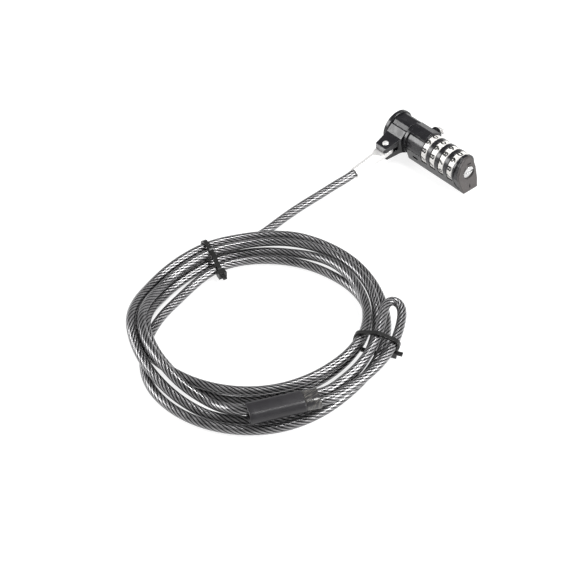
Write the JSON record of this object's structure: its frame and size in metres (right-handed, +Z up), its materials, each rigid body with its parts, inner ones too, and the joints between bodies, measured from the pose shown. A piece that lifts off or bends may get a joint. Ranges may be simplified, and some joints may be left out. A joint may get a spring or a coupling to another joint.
{
  "type": "cable lock",
  "caption": "Combination cable lock: lock head with number dials, push button, turning T-bar and swivel clevis, on a coiled steel cable with a crimped eye, held by ties.",
  "frame": {"origin": "on the surface that the lock stands on, under the middle of the lock head (its base face)", "axes": "+X along the lock head from the push button to the nose, +Z up, -Y towards the cable, +Y towards the T-bar"},
  "size_m": [0.1512, 0.2729, 0.0247],
  "materials": {
    "body_black": "satin black paint with bright edges",
    "ring_black": "gloss black paint",
    "cap_black": "satin black paint",
    "cover_black": "matt black plastic",
    "button_black": "smooth black",
    "dial_silver": "silver with printed black digits",
    "sleeve_brass": "plain brass",
    "steel": "plain steel",
    "bright_metal": "bright plated metal",
    "cable_coat": "clear smoke-black coat over twisted steel rope",
    "sleeve_grey": "matt dark grey shrink sleeve",
    "crimp_aluminium": "plain aluminium",
    "tie_black": "black nylon"
  },
  "bodies": {
    "housing": {"housing": "body_black", "end_ring": "ring_black", "nose_cap": "cap_black", "nose_pins": "steel", "base_cover": "cover_black", "base_screws": "steel", "detent_spring": "steel", "t_bar_bush": "ring_black", "button_spring": "steel"},
    "dial_1": {"dial_ring_1": "dial_silver", "dial_sleeve_1": "sleeve_brass"},
    "dial_2": {"dial_ring_2": "dial_silver", "dial_sleeve_2": "sleeve_brass"},
    "dial_3": {"dial_ring_3": "dial_silver", "dial_sleeve_3": "sleeve_brass"},
    "dial_4": {"dial_ring_4": "dial_silver", "dial_sleeve_4": "sleeve_brass"},
    "button": {"push_button": "button_black", "locking_shaft": "steel"},
    "t_bar": {"t_bar": "steel"},
    "reset": {"reset_screw": "bright_metal"},
    "collar": {"swivel_collar": "body_black", "rivet": "bright_metal"},
    "cable": {"ferrule": "bright_metal", "rope_end": "steel", "cable_lead": "cable_coat", "cable_coil": "cable_coat", "cable_eye": "cable_coat", "eye_sleeve": "sleeve_grey", "eye_crimp": "crimp_aluminium", "cable_tie_rear": "tie_black", "cable_tie_front": "tie_black"}
  },
  "joints": [
    {"name": "button_press", "type": "slide", "parent": "housing", "child": "button", "axis": [1, 0, 0], "range_m": [0, 0.003], "stiffness_N_per_m": 600, "springref_m": -0.002, "deforming": ["button_spring"]},
    {"name": "t_bar_turn", "type": "hinge", "parent": "housing", "child": "t_bar", "pos_m": [-0.0082, 0, 0.01585], "axis": [0, -1, 0], "range_deg": [0, 90.1]},
    {"name": "reset_turn", "type": "hinge", "parent": "housing", "child": "reset", "pos_m": [0.024, 0, 0.01275], "axis": [1, 0, 0], "range_deg": [0, 90]},
    {"name": "collar_swivel", "type": "hinge", "parent": "housing", "child": "collar", "pos_m": [-0.0236, 0, 0.01275], "axis": [1, 0, 0], "continuous": true},
    {"name": "cable_swing", "type": "hinge", "parent": "collar", "child": "cable", "pos_m": [-0.023, -0.01891, 0.00942], "axis": [0, -0.1736, 0.9848], "range_deg": [-70, 70]},
    {"name": "dial_1_turn", "type": "hinge", "parent": "housing", "child": "dial_1", "pos_m": [0.0006, 0, 0.01275], "axis": [1, 0, 0], "continuous": true},
    {"name": "dial_2_turn", "type": "hinge", "parent": "housing", "child": "dial_2", "pos_m": [0.008, 0, 0.01275], "axis": [1, 0, 0], "continuous": true},
    {"name": "dial_3_turn", "type": "hinge", "parent": "housing", "child": "dial_3", "pos_m": [0.0154, 0, 0.01275], "axis": [1, 0, 0], "continuous": true},
    {"name": "dial_4_turn", "type": "hinge", "parent": "housing", "child": "dial_4", "pos_m": [0.0228, 0, 0.01275], "axis": [1, 0, 0], "continuous": true}
  ],
  "couplings": [
    {"joint": "t_bar_turn", "follows": "button_press", "rad_per_m": 523.6}
  ]
}
